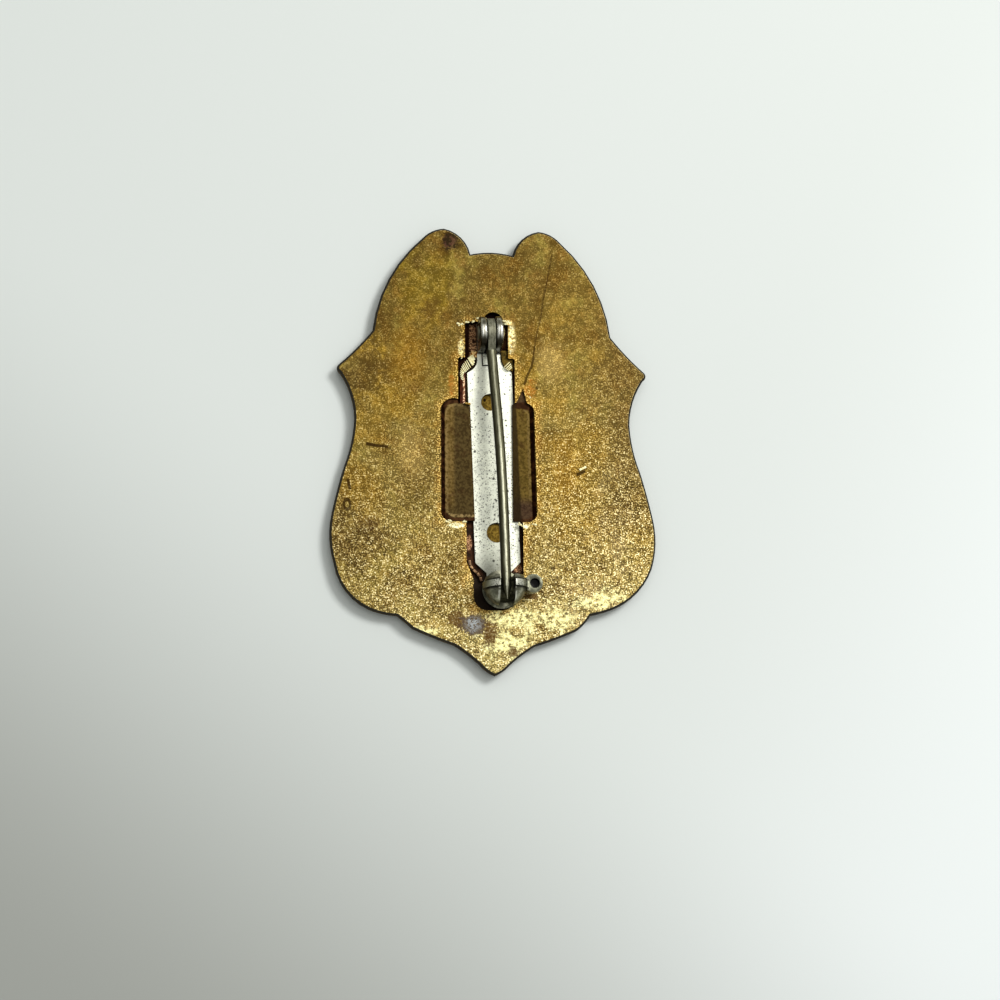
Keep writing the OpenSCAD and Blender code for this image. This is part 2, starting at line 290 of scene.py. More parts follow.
def bevelEdges(piece, wanted, width):
    # rounds the edges that pass a test
    only(piece)
    bpy.ops.object.mode_set(mode="EDIT")
    shape = bmesh.from_edit_mesh(piece.data)
    for face in shape.faces:
        face.select = False
    for edge in shape.edges:
        edge.select = wanted(edge)
    bmesh.update_edit_mesh(piece.data)
    bpy.ops.mesh.bevel(offset=width * mm, segments=5, clamp_overlap=False)
    bpy.ops.object.mode_set(mode="OBJECT")


def soften(piece, width, segments, angle=30, smooth=35, weighted=True):
    # rounds the hard edges and smooths the shading across the shallow ones
    only(piece)
    bevel = piece.modifiers.new("edges", "BEVEL")
    bevel.width = width * mm
    bevel.segments = segments
    bevel.limit_method = "ANGLE"
    bevel.angle_limit = math.radians(angle)
    bevel.harden_normals = False
    bevel.use_clamp_overlap = True
    bpy.ops.object.modifier_apply(modifier="edges")
    bpy.ops.object.shade_smooth_by_angle(angle=math.radians(smooth))
    if weighted:
        flat = piece.modifiers.new("flat", "WEIGHTED_NORMAL")
        flat.keep_sharp = True
        flat.weight = 80
        bpy.ops.object.modifier_apply(modifier="flat")


# where the camera stands in metres, its directions, and its lens and film width in mm
view = {"place": (-0.05601, -0.08579, 0.37755), "right": (0.98898, -0.00843, 0.14781),
        "up": (-0.02207, 0.97883, 0.20347), "lens": 112.06, "film": 36}


def photoCamera():
    # stands where the photo was taken from
    eye = bpy.data.cameras.new("photoCamera")
    eye.lens = view["lens"]
    eye.sensor_width = view["film"]
    eye.sensor_fit = "HORIZONTAL"
    camera = bpy.data.objects.new("photoCamera", eye)
    right = Vector(view["right"]).normalized()
    up = Vector(view["up"])
    up = (up - right * up.dot(right)).normalized()
    turned = Matrix((right, up, right.cross(up))).transposed().to_4x4()
    camera.matrix_world = Matrix.Translation(view["place"]) @ turned
    bpy.context.scene.collection.objects.link(camera)
    bpy.context.scene.camera = camera
    bpy.context.scene.view_settings.view_transform = "Standard"


photoCamera()

# places and sizes in metres, lamps in watts
lighting = {"boxPlace": (0.10, 0.14, 0.70), "boxSize": 0.85, "boxPower": 2.1,
            "keyPlace": (0.22, 0.17, 0.42), "keySize": 0.15, "keyPower": 1.2,
            "roomTint": (0.97, 1.0, 0.97, 1), "roomPower": 0.3}


def lamp(name, place, size, power):
    # a square lamp that points at the badge
    data = bpy.data.lights.new(name, "AREA")
    data.size = size
    data.energy = power
    made = bpy.data.objects.new(name, data)
    made.location = place
    made.rotation_euler = (-Vector(place)).to_track_quat("-Z", "Y").to_euler()
    bpy.context.scene.collection.objects.link(made)


def paleRoom():
    room = bpy.data.worlds.new("paleRoom")
    room.use_nodes = True
    sockets = room.node_tree.nodes["Background"].inputs
    sockets["Color"].default_value = lighting["roomTint"]
    sockets["Strength"].default_value = lighting["roomPower"]
    bpy.context.scene.world = room


lamp("softBox", lighting["boxPlace"], lighting["boxSize"], lighting["boxPower"])
lamp("keyLight", lighting["keyPlace"], lighting["keySize"], lighting["keyPower"])
paleRoom()
print("camera and lights set")

# the side of the table in metres, and how far it lies below the badge in mm
tableLook = {"size": 3, "gap": 0.03,
             "pale": (228, 233, 228), "paintedShadeTone": (166, 168, 161), "bright": (246, 251, 249)}


def paleTable():
    # painted shade darkens the sheet under the badge towards the lower left, and painted light brightens it
    # towards the lower right
    look = tableLook
    paint = Paint("paleTable")
    x, y = paint.x, paint.y
    away = (x * x + y * y).root()
    # painted shade towards the lower left, painted light towards the lower right
    left = (x * -0.6 + y * -0.8).rise(12.0, 90.0) * away.rise(190.0, 95.0)
    right = (x * 0.85 + y * -0.5).rise(20.0, 90.0)
    colour = paint.blend(right, look["pale"], look["bright"])
    colour = paint.blend(left, colour, look["paintedShadeTone"])
    return paint.finish(colour, 0.0, 0.6)


bpy.ops.object.select_all(action="DESELECT")
bpy.ops.mesh.primitive_plane_add(size=tableLook["size"], location=(0, 0, -tableLook["gap"] * mm))
table = bpy.context.active_object
table.name = "tableTop"
bpy.ops.object.transform_apply(location=True)
table.data.materials.append(paleTable())
print("table done")

# the pocket seen from above: boxes by x from, x to, y from, y to, and circles by x, y, radius
pocketOutline = {"boxes": ((-6.35, 5.68, -9.2, 5.9), (-3.2, 2.3, 11.0, 16.55), (-4.1, 3.12, 6.0, 11.85),
                           (-3.15, 4.0, -17.0, -9.0), (-2.3, 2.2, -20.35, -15.5), (3.4, 4.65, 5.5, 7.5)),
                 "circles": ((0.42, 16.5, 1.32), (-4.59, 4.8, 1.76), (0.85, -17.2, 3.15))}


def pocketFar(paint):
    # how far a point lies outside the pocket and its tabs, seen from above
    boxes = pocketOutline["boxes"]
    far = paint.boxFar(*boxes[0])
    for box in boxes[1:]:
        far = far.least(paint.boxFar(*box))
    for x, y, radius in pocketOutline["circles"]:
        far = far.least(((paint.x - x) ** 2.0 + (paint.y - y) ** 2.0).root() - radius)
    return far


# grains to a mm, and the colours of the back from its top to its tip, of its clouds and of its grain;
# an oval, here and further down, is x, y and its reach both ways, in mm
brassLook = {"grainPerMm": 2.3, "finePerMm": 5.5,
             "top": (88, 70, 29), "upper": (106, 86, 36), "middle": (117, 98, 47),
             "lower": (128, 108, 56), "tip": (152, 138, 85),
             "brown": (94, 66, 20), "olive": (126, 112, 50), "umber": (86, 60, 22), "dusk": (84, 62, 26),
             "moss": (118, 98, 26), "pinkGrey": (138, 118, 84), "amber": (132, 102, 32),
             "gap": (100, 66, 20), "spark": (200, 174, 96), "glint": (255, 246, 200),
             "sheen": (240, 234, 168),
             "sheenAt": ((2.9, -21.7, 3.2, 1.5), (1.6, -24.4, 2.6, 2.0), (7.4, -21.2, 3.2, 1.5)),
             "rightSheenAt": (14.0, -18.8, 3.2, 1.4), "leftSheenAt": (-7.6, -23.2, 3.0, 0.9)}


class BrassPaint(Paint):
    # a paint with the clouds and grains that all parts of the struck plate share
    def __init__(self, name):
        super().__init__(name)
        self.cloud = self.noise(0.13, 3.0, 0.55)
        self.drift = self.noise(0.27, 4.0, 0.62, stretch=(1.0, 0.8, 1.0))
        self.patch = self.noise(0.6, 3.0, 0.65)
        self.mottle = self.noise(1.5, 2.0, 0.6)
        self.clump = self.noise(brassLook["grainPerMm"], 3.0, 0.75)
        self.grain = self.noise(3.0, 3.0, 0.7)
        self.fine = self.noise(brassLook["finePerMm"], 1.0, 0.5)
        # 0 at the lobes, 1 at the point, further on at the right
        fromTop = (badge["halfHeight"] - self.y) / (badge["halfHeight"] * 2)
        self.down = fromTop + self.x * 0.0035 + (self.cloud - 0.5) * 0.25
        self.strong = self.down.rise(0.12, 0.95)
        self.ring = pocketFar(self)


def tarnish(paint):
    # brown at the lobes to pale gold at the point, partly tarnish and partly a painted sheen where the
    # light reflects towards the point, under worn gold, brown, olive and greyish pink clouds
    look = brassLook
    x, y, cloud, drift = paint.x, paint.y, paint.cloud, paint.drift
    names = ((0.0, "top"), (0.3, "upper"), (0.5, "middle"), (0.74, "lower"), (0.97, "tip"))
    stops = [(place, linear(*look[name])) for place, name in names]
    body = paint.node("ShaderNodeValToRGB", {"stops": stops}, {"Fac": paint.down}).outputs[0]
    upperLeft = cloud.rise(0.52, 0.64) * y.rise(0.0, 12.0) * x.rise(4.0, -6.0)
    lowerRight = drift.rise(0.52, 0.4) * x.rise(3.0, 10.0) * y.rise(2.0, -8.0)
    waist = cloud.rise(0.49, 0.6) * y.rise(-20.0, -12.0) * y.rise(22.0, 13.0)
    body = paint.blend(drift.rise(0.5, 0.64) * 0.6, body, look["brown"])
    body = paint.blend(drift.rise(0.47, 0.34) * 0.5, body, look["olive"])
    body = paint.blend(paint.patch.rise(0.54, 0.68) * 0.45, body, look["umber"])
    body = paint.blend(cloud.rise(0.46, 0.34) * 0.6, body, look["dusk"])
    body = paint.blend(upperLeft * 0.5, body, look["moss"])
    body = paint.blend(lowerRight * 0.55, body, look["pinkGrey"])
    return paint.blend(waist * 0.45, body, look["amber"])


def sandGrain(paint, body):
    # the sandy grain of the struck metal, with more contrast and more painted glints towards the point
    look = brassLook
    clump, fine, strong = paint.clump, paint.fine, paint.strong
    calm = paint.drift.rise(0.36, 0.6) * 0.35 + 0.75
    sand = 0.9 + ((clump - 0.5) * 2.4 + (fine - 0.5) * 3.0) * (0.6 + 0.9 * strong) * calm
    sand = sand + (paint.mottle - 0.5) * 1.2 + (paint.patch - 0.5) * 1.9 + (paint.drift - 0.5) * -0.6
    body = paint.shade(sand.most(0.62 - 0.3 * strong * strong), body)
    gaps = ((1.0 - clump) * 0.7 + fine * 0.3).rise(0.55, 0.64)
    body = paint.blend(gaps * (0.12 + 0.38 * strong * strong), body, look["gap"])
    # painted glints: sparks and glints of light on the grain
    shine = fine * 0.5 + clump * 0.4 + paint.mottle * 0.1 + strong * 0.04
    body = paint.blend(shine.rise(0.5, 0.62) * (0.15 + 0.4 * strong), body, look["spark"])
    bright = 0.08 + 0.3 * strong + 0.5 * strong * strong
    return paint.blend(shine.rise(0.58, 0.66) * bright, body, look["glint"])


def paintedSheen(paint, body):
    # painted sheen under the catch and on the point, partly bare metal and partly a painted reflection of
    # the light, broken up by brown
    look = brassLook
    sheen = paint.nearest(look["sheenAt"])
    sheen = sheen.least(paint.ovalFar(*look["rightSheenAt"]) + 0.25)
    sheen = sheen.least(paint.ovalFar(*look["leftSheenAt"]) + 0.35)
    broken = (paint.clump * 0.6 + paint.mottle * 0.4).rise(0.42, 0.55)
    sheen = (sheen + (paint.patch - 0.5) * 3.4).rise(1.2, 0.4)
    return paint.blend(sheen * (0.05 + 0.75 * broken), body, look["sheen"])


# wide ovals; the last number of a dark one is its strength
broadLook = {"dark": (80, 61, 29), "light": (158, 132, 72), "orange": (138, 98, 22),
             "darkAt": ((-17.6, -12.4, 3.6, 3.6, 1.0), (-14.6, -11.5, 2.0, 1.5, 1.0),
                        (16.6, 10.2, 3.4, 3.6, 0.7), (-15.8, 10.4, 3.4, 3.6, 0.8),
                        (7.6, -17.6, 2.2, 1.0, 0.9), (-12.4, -16.4, 2.2, 1.4, 0.4)),
             "lightAt": ((-10.0, -0.6, 1.9, 3.4), (7.8, 11.6, 2.0, 2.6), (-8.0, -22.4, 2.6, 1.2)),
             "orangeAt": ((-10.4, 11.6, 2.4, 3.8), (9.5, -2.5, 1.8, 4.0))}


def broadTones(paint, body):
    # wide soft areas that are darker, lighter or more orange than the rest
    look = broadLook
    warp = (paint.patch - 0.5) * 2.2 + (paint.mottle - 0.5) * 1.2
    dark = paint.x.rise(12.0, 17.0) * paint.y.rise(-12.0, -8.0)
    for *oval, strength in look["darkAt"]:
        dark = dark.most((paint.ovalFar(*oval) + warp).rise(1.3, 0.5) * strength)
    body = paint.blend(dark * 0.8, body, look["dark"])
    light = (paint.nearest(look["lightAt"]) + warp).rise(1.3, 0.4)
    body = paint.blend(light * 0.65, body, look["light"])
    orange = (paint.nearest(look["orangeAt"]) + warp).rise(1.4, 0.4)
    return paint.blend(orange * 0.45, body, look["orange"])


edgeLook = {"halo": (138, 96, 32), "rust": (148, 92, 30), "lit": (240, 204, 116), "band": (250, 234, 166),
            "torn": (250, 240, 190), "rustAt": ((-4.95, 8.3, 0.5, 1.6), (5.1, 7.9, 0.9, 1.3)),
            "highlightBandAt": ((2.75, 14.5, 0.55, 1.9), (-3.7, 13.1, 0.42, 1.15), (2.3, 16.5, 0.6, 0.35)),
            "tornAt": ((-4.4, -9.75, 0.95, 0.42), (4.1, -9.6, 0.75, 0.4))}


def pocketEdges(paint, body):
    # rusty gold round the pocket, painted glints along its rim, painted highlights in broken bands on the
    # burnished metal beside the hinge, and bright torn metal at the corners of the tabs
    look = edgeLook
    ring, mottle, clump = paint.ring, paint.mottle, paint.clump
    halo = ring.rise(1.1, 0.1) * paint.patch.rise(0.4, 0.58)
    rust = (paint.nearest(look["rustAt"]) + (mottle - 0.5) * 1.6).rise(1.1, 0.6)
    body = paint.blend(halo * 0.4, body, look["halo"])
    body = paint.blend(rust * (0.1 + 0.55 * clump.rise(0.42, 0.56)), body, look["rust"])
    # painted glints along the rim of the pocket
    lit = ring.rise(0.9, 0.1) * paint.fine.rise(0.53, 0.62) * (0.1 + 0.5 * paint.y.rise(17.3, 16.5))
    body = paint.blend(lit, body, look["lit"])
    # painted highlights in broken bands on the burnished metal beside the hinge
    band = (paint.nearest(look["highlightBandAt"]) + (clump - 0.5) * 2.6).rise(1.25, 0.6)
    body = paint.blend(band * (0.1 + 0.85 * clump.rise(0.44, 0.54)), body, look["band"])
    torn = (paint.nearest(look["tornAt"]) + (mottle - 0.5) * 1.6).rise(1.1, 0.6)
    return paint.blend(torn * (0.1 + 0.85 * clump.rise(0.42, 0.52)), body, look["torn"])


# scratch is a path; dashes have two ends, a width and a strength
markLook = {"tone": (44, 29, 9),
            "scratch": ((4.35, 8.61), (4.68, 9.66), (5.24, 10.84), (5.54, 12.07), (5.64, 13.45),
                        (6.03, 15.45), (6.52, 17.32), (6.84, 19.63), (7.17, 21.09), (7.59, 23.34),
                        (8.0, 25.46)),
            "dashes": ((-9.91, 16.47, -7.33, 12.41, 0.1, 0.3), (-9.55, 16.65, -7.7, 13.6, 0.08, 0.25),
                       (-15.5, 0.4, -14.4, 0.2, 0.3, 0.95), (-14.4, 0.2, -13.1, 0.1, 0.26, 0.9),
                       (-17.92, -4.3, -17.7, -5.3, 0.26, 0.9), (11.0, -2.85, 11.75, -2.5, 0.3, 0.95)),
            "loopAt": (-18.05, -7.35, 0.4, 0.62),
            "dotAt": ((7.7, -14.9, 0.32, 0.3), (17.4, -15.5, 0.25, 0.25), (5.9, 8.1, 0.25, 0.25),
                      (9.3, -20.6, 0.3, 0.25), (-10.98, -15.78, 0.25, 0.25), (-7.27, -18.71, 0.25, 0.22),
                      (-13.4, -13.6, 0.22, 0.22), (2.32, 16.07, 0.2, 0.18))}


def backMarks(paint, body):
    # the long scratch, wider and darker low down, and small dashes, a loop and dots
    look = markLook
    marks = []
    for start, end in zip(look["scratch"], look["scratch"][1:]):
        width = 0.22 if start[1] < 12 else 0.15
        strength = 0.8 if start[1] < 13 else 0.6
        marks.append((*start, *end, width, strength))
    *first, strength = marks[0]
    total = paint.line(*first) * strength
    for *mark, strength in (*marks[1:], *look["dashes"]):
        total = total.most(paint.line(*mark) * strength)
    total = total.most(abs(paint.ovalFar(*look["loopAt"]) - 1.0).rise(0.5, 0.25) * 0.85)
    for dot in look["dotAt"]:
        total = total.most(paint.spotAt(*dot) * 0.8)
    return paint.blend(total, body, look["tone"])


stainLook = {"brown": (78, 52, 24), "flux": (76, 64, 54), "solder": (150, 155, 156),
             "lobe": ((28, 20, 16), (66, 42, 36)), "haze": (62, 38, 20),
             "brownAt": ((-4.4, -21.5, 1.1, 1.0), (-0.3, -23.2, 0.9, 1.7), (2.6, -25.6, 0.6, 0.8)),
             "streakAt": (5.0, -18.5, 0.95, 0.38), "solderAt": (-2.4, -22.1, 1.5, 1.35),
             "lobeAt": (-4.95, 27.0, 1.15, 1.1),
             "hazeAt": (-7.5, 18.2, 1.5, 1.6), "leftHazeAt": (-15.4, -9.6, 2.0, 1.5)}


def stains(paint, body):
    # solder and the brown round it, the dark patch on a lobe and fainter clouds
    look = stainLook
    mottle, grain = paint.mottle, paint.grain
    warp = (grain - 0.5) * 1.4 + (mottle - 0.5) * 1.6 + (paint.patch - 0.5) * 1.2
    brown = paint.nearest(look["brownAt"]) + warp
    brown = brown.least(paint.ovalFar(*look["streakAt"]) + warp * 0.5)
    body = paint.blend(brown.rise(1.2, 0.75) * 0.8, body, look["brown"])
    solder = paint.ovalFar(*look["solderAt"]) + warp * 0.6
    body = paint.blend(solder.rise(1.25, 0.85) * 0.9, body, look["flux"])
    body = paint.blend(solder.rise(1.0, 0.3) * grain.rise(0.44, 0.56) * 0.9, body, look["solder"])
    lobe = (paint.ovalFar(*look["lobeAt"]) + warp * 0.8).rise(1.35, 0.6)
    body = paint.blend(lobe * 0.85, body, paint.blend(mottle.rise(0.45, 0.6), *look["lobe"]))
    haze = paint.ovalFar(*look["hazeAt"]) + warp * 0.8
    haze = haze.least(paint.ovalFar(*look["leftHazeAt"]) + warp * 0.6 + 0.1)
    return paint.blend(haze.rise(1.2, 0.3) * 0.4, body, look["haze"])


# a pair of colours is blended by a grain
tabLook = {"bare": ((48, 37, 18), (72, 59, 32)), "lit": ((72, 56, 24), (104, 84, 46)),
           "right": ((62, 49, 18), (92, 74, 33)), "rightFoot": ((46, 32, 22), (66, 50, 34)),
           "border": ((40, 23, 12), (62, 40, 22)), "notch": ((46, 32, 20), (70, 54, 34)),
           "patch": (48, 28, 14), "bead": (134, 113, 72), "rightBead": (104, 86, 50),
           "shadeBesideStrip": (32, 24, 13),
           "leftBox": (-6.35, 0.0, -9.2, 6.55), "leftCorner": 1.75,
           "rightBox": (0.0, 5.68, -9.2, 6.1), "rightCorner": 1.3, "rightSlope": 0.0192}


def tabTones(paint):
    # tab floors: dark border, a worn line inside it, browner towards the strip, and painted shade on the
    # right floor beside the strip
    look = tabLook
    x, y, mottle, grain = paint.x, paint.y, paint.mottle, paint.grain
    left = paint.insideBox(x, y, look["leftBox"], look["leftCorner"])
    right = paint.insideBox(x + y * look["rightSlope"], y, look["rightBox"], look["rightCorner"])
    depth = left.most(right) + (mottle - 0.5) * 0.35
    dusk = (grain * 0.6 + mottle * 0.4).rise(0.38, 0.62)
    onLeft, onRight = x.rise(0.0, -0.1), x.rise(0.0, 0.1)
    tone = paint.blend(dusk, *look["bare"])
    tone = paint.blend(x.rise(-4.3, -4.9) * y.rise(-8.6, -6.0), tone, paint.blend(dusk, *look["lit"]))
    tone = paint.blend(onRight, tone, paint.blend(dusk, *look["right"]))
    tone = paint.blend(onRight * y.rise(-5.4, -7.0), tone, paint.blend(dusk, *look["rightFoot"]))
    tone = paint.blend(paint.patch.rise(0.52, 0.68) * 0.5, tone, look["patch"])
    bead = depth.rise(0.6, 0.76) * depth.rise(1.08, 0.88) * grain.rise(0.36, 0.54)
    tone = paint.blend(bead * onLeft * (0.3 + 0.5 * y.rise(-7.6, -8.3)), tone, look["bead"])
    tone = paint.blend(bead * x.rise(4.1, 4.4) * y.rise(-7.0, -5.0) * 0.6, tone, look["rightBead"])
    tone = paint.blend(depth.rise(0.66, 0.52), tone, paint.blend(mottle.rise(0.4, 0.62), *look["border"]))
    tone = paint.blend(x.rise(2.9, 3.1) * y.rise(6.2, 6.4), tone, paint.blend(dusk, *look["notch"]))
    # painted shade where the strip's edge shades the right tab floor
    besideStrip = x - pocket["strip"] + y * pocket["slope"]
    return paint.blend(onRight * besideStrip.rise(3.3, 3.02) * 0.85, tone, look["shadeBesideStrip"])


lugLook = {"plain": ((40, 31, 12), (84, 68, 28)), "lowLeft": ((40, 17, 11), (66, 32, 20)),
           "wearAndHighlight": ((132, 86, 62), (226, 194, 156)), "dark": (26, 18, 9),
           "copper": ((128, 84, 38), (236, 200, 132))}


def lugTones(paint):
    # staked brass round the shoulders: dark between its ridges, a pinkish worn line further down, and
    # painted shade along the pocket wall at its left edge
    look = lugLook
    x, y, mottle, grain, fine = paint.x, paint.y, paint.mottle, paint.grain, paint.fine
    onLeft = x.rise(0.0, -0.1)
    tone = paint.blend(mottle.rise(0.4, 0.6), *look["plain"])
    lowLeft = paint.blend(mottle.rise(0.36, 0.6), *look["lowLeft"])
    tone = paint.blend(onLeft * y.rise(12.0, 11.4), tone, lowLeft)
    wearAndHighlight = abs(x + 3.3 + (grain - 0.5) * 0.12).rise(0.16, 0.08) * y.rise(9.6, 9.0) * grain.rise(0.38, 0.5)
    tone = paint.blend(wearAndHighlight * 0.9, tone, paint.blend(fine.rise(0.45, 0.6), *look["wearAndHighlight"]))
    # painted shade along the pocket wall at the left edge of the left lug
    tone = paint.blend(onLeft * x.rise(-3.16, -3.08), tone, look["dark"])
    copper = paint.blend(fine.rise(0.42, 0.62), *look["copper"])
    return paint.blend(onLeft * y.rise(11.9, 12.2), tone, copper)


floorLook = {"walls": ((38, 19, 10), (78, 46, 24)), "hinge": ((44, 24, 14), (98, 64, 42)),
             "lit": (200, 156, 110), "leftWallShade": (30, 15, 9), "right": ((34, 17, 9), (66, 42, 22)),
             "scratch": (226, 206, 166), "low": ((36, 26, 19), (60, 37, 24)),
             "copper": ((84, 54, 34), (176, 134, 98)), "crown": (30, 17, 16),
             "holes": ((78, 60, 20), (128, 104, 42)), "dot": (28, 18, 8), "shadeUnderCatch": (36, 29, 23),
             "scratchAt": (-1.46, 13.3, -1.43, 14.8, 0.12), "dotAt": (-0.57, 6.67, 0.22, 0.25),
             "copperAt": ((-2.62, -11.7, 0.34, 1.0), (3.4, -14.7, 0.6, 0.6)),
             "upperHoleAt": (0.1, 6.3, 1.6, 1.6), "lowerHoleAt": (0.72, -10.4, 1.7, 1.7)}


def deepTones(paint):
    # deep floor: copper beside the hinge, with painted shade along its left wall and at its top, nearly
    # black lower down with a few copper patches, and painted shade under the catch
    look = floorLook
    x, y, mottle, grain, fine = paint.x, paint.y, paint.mottle, paint.grain, paint.fine
    deep = paint.blend(mottle.rise(0.38, 0.62), *look["hinge"])
    lit = fine.rise(0.46, 0.58) * mottle.rise(0.36, 0.5) * (0.5 + 0.5 * y.rise(15.0, 13.0))
    deep = paint.blend(lit, deep, look["lit"])
    # painted shade along the left wall of the hinge well
    deep = paint.blend(x.rise(-2.35, -2.6), deep, look["leftWallShade"])
    deep = paint.blend(x.rise(1.0, 1.3), deep, paint.blend(mottle.rise(0.4, 0.6), *look["right"]))
    deep = paint.blend(paint.line(*look["scratchAt"]) * 0.9, deep, look["scratch"])
    copper = (paint.nearest(look["copperAt"]) + (grain - 0.5) * 1.4).rise(1.1, 0.8)
    low = paint.blend(mottle.rise(0.4, 0.64), *look["low"])
    low = paint.blend(copper, low, paint.blend(fine.rise(0.4, 0.62), *look["copper"]))
    deep = paint.blend(y.rise(-8.0, -9.0), deep, low)
    # painted shade at the top of the hinge well, behind the ears
    deep = paint.blend(y.rise(16.35, 16.6), deep, look["crown"])
    # seen through the holes of the strip
    under = paint.spotAt(*look["upperHoleAt"], 0.1).most(paint.spotAt(*look["lowerHoleAt"], 0.1))
    deep = paint.blend(under, deep, paint.blend(grain.rise(0.4, 0.65), *look["holes"]))
    deep = paint.blend(paint.spotAt(*look["dotAt"], 0.3), deep, look["dot"])
    # painted shade in the well under the catch
    return paint.blend(y.rise(-15.6, -16.4), deep, look["shadeUnderCatch"])


# heights over the front between which one kind of surface ends and the next begins, in mm
pocketLevels = {"belowBack": (1.97, 1.9), "tab": (1.57, 1.575), "belowTab": (1.575, 1.57),
                "lug": (1.4, 1.5), "deep": (1.2, 1.0)}


def pocketTones(paint, body):
    # walls, tab floors, staked lugs and the deep floor under the strip, told apart by their height
    at = {name: paint.z.rise(*limits) for name, limits in pocketLevels.items()}
    below = at["belowBack"] * paint.ring.rise(0.3, 0.12)
    level = paint.faceZ.rise(0.9, 0.97) * below
    body = paint.blend(below, body, paint.blend(paint.mottle.rise(0.45, 0.68), *floorLook["walls"]))
    body = paint.blend(level * at["tab"], body, tabTones(paint))
    body = paint.blend(level * at["lug"] * at["belowTab"], body, lugTones(paint))
    return paint.blend(level * at["deep"], body, deepTones(paint))


rimLook = {"rimHighlight": (214, 192, 132), "rim": (34, 30, 17), "side": ((48, 37, 16), (84, 66, 29))}


def rimTones(paint, body, outside, edge):
    # dark tarnished rim and sides all round, with a painted highlight just inside the rim on the upper
    # right, the side that faces the light
    look = rimLook
    up = paint.faceZ
    # painted highlight on the rounded rim where it faces the upper right
    upperRight = (paint.faceX * 0.7 + paint.faceY * 0.5).rise(0.0, 0.05)
    rimHighlight = up.rise(0.9995, 0.997) * outside * upperRight * paint.grain.rise(0.36, 0.56)
    body = paint.blend(rimHighlight * 0.85, body, look["rimHighlight"])
    body = paint.blend(edge, body, look["rim"])
    side = paint.blend(paint.mottle.rise(0.4, 0.62), *look["side"])
    return paint.blend(abs(up).rise(0.55, 0.25) * outside, body, side)


def struckBrass():
    paint = BrassPaint("struckBrass")
    grain, fine, strong = paint.grain, paint.fine, paint.strong
    body = tarnish(paint)
    for layer in (broadTones, sandGrain, paintedSheen, pocketEdges, backMarks, stains, pocketTones):
        body = layer(paint, body)
    outside = paint.ring.rise(0.3, 0.6)
    edge = abs(paint.faceZ).rise(0.997, 0.98) * outside
    body = rimTones(paint, body, outside, edge)
    rough = 0.4 + 0.2 * grain + 0.3 * edge
    height = (grain * 0.7 + fine * 0.6) * (0.25 + 0.75 * strong) + paint.mottle * 0.3
    return paint.finish(body, 1.0 - 0.75 * edge, rough, height, 0.6, 0.07)


# in mm; between the lobes, up to narrowTo from the middle and above narrowFrom, the rim is narrow and
# takes only narrowDraft of the draft
plateLook = {"rimRound": 0.3, "frontRound": 0.16, "pocketRound": 0.07, "draft": 0.28, "draftFrom": 1.45,
             "narrowTo": 4.8, "narrowFrom": 23.0, "narrowDraft": 0.25}


def nearRim(point):
    # far enough from the middle to belong to the outline and not to the pocket; point in mm
    return (point.x / badge["halfWidth"]) ** 2 + (point.y / badge["halfHeight"]) ** 2 > 0.5


def outerSides(shape):
    # the side directions that meet at each front corner of the outer wall
    corners = {}
    for face in shape.faces:
        middle = face.calc_center_median() / mm
        outwards = face.normal.x * middle.x + face.normal.y * middle.y > 0.0
        if abs(face.normal.z) < 0.1 and outwards and nearRim(middle):
            for vertex in face.verts:
                if abs(vertex.co.z) < 0.01 * mm:
                    corners.setdefault(vertex, []).append(face.normal.copy())
    return corners


def draftWall(piece):
    # the lower part of the outer wall runs inwards to the front
    look = plateLook
    only(piece)
    bpy.ops.object.mode_set(mode="EDIT")
    bpy.ops.mesh.select_all(action="SELECT")
    bpy.ops.mesh.bisect(plane_co=(0, 0, look["draftFrom"] * mm), plane_no=(0, 0, 1))
    shape = bmesh.from_edit_mesh(piece.data)
    for vertex, normals in outerSides(shape).items():
        away = sum(normals, Vector())
        away.normalize()
        reach = look["draft"] / max(away.dot(normals[0]), 0.5)
        if abs(vertex.co.x) < look["narrowTo"] * mm and vertex.co.y > look["narrowFrom"] * mm:
            reach *= look["narrowDraft"]
        vertex.co.x -= away.x * reach * mm
        vertex.co.y -= away.y * reach * mm
    bmesh.update_edit_mesh(piece.data)
    bpy.ops.object.mode_set(mode="OBJECT")


def onOutline(edge, height):
    # true for an edge of the outline at this height that has one side wall facing outwards
    a, b = (vertex.co / mm for vertex in edge.verts)
    away = Vector((a.x + b.x, a.y + b.y, 0.0))
    level = abs(a.z - height) < 0.01 and abs(b.z - height) < 0.01
    sides = [face for face in edge.link_faces if abs(face.normal.z) < 0.4 and face.normal.dot(away) > 0.0]
    return nearRim(a) and nearRim(b) and level and len(sides) == 1


plate = copyOf("badge_plate", "brassShield")
draftWall(plate)
bevelEdges(plate, lambda edge: onOutline(edge, badge["back"]), plateLook["rimRound"])
bevelEdges(plate, lambda edge: onOutline(edge, 0.0), plateLook["frontRound"])
soften(plate, plateLook["pocketRound"], 2)
plate.data.materials.append(struckBrass())
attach(plate, "badge")
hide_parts("badge_plate")
print("badge plate done")

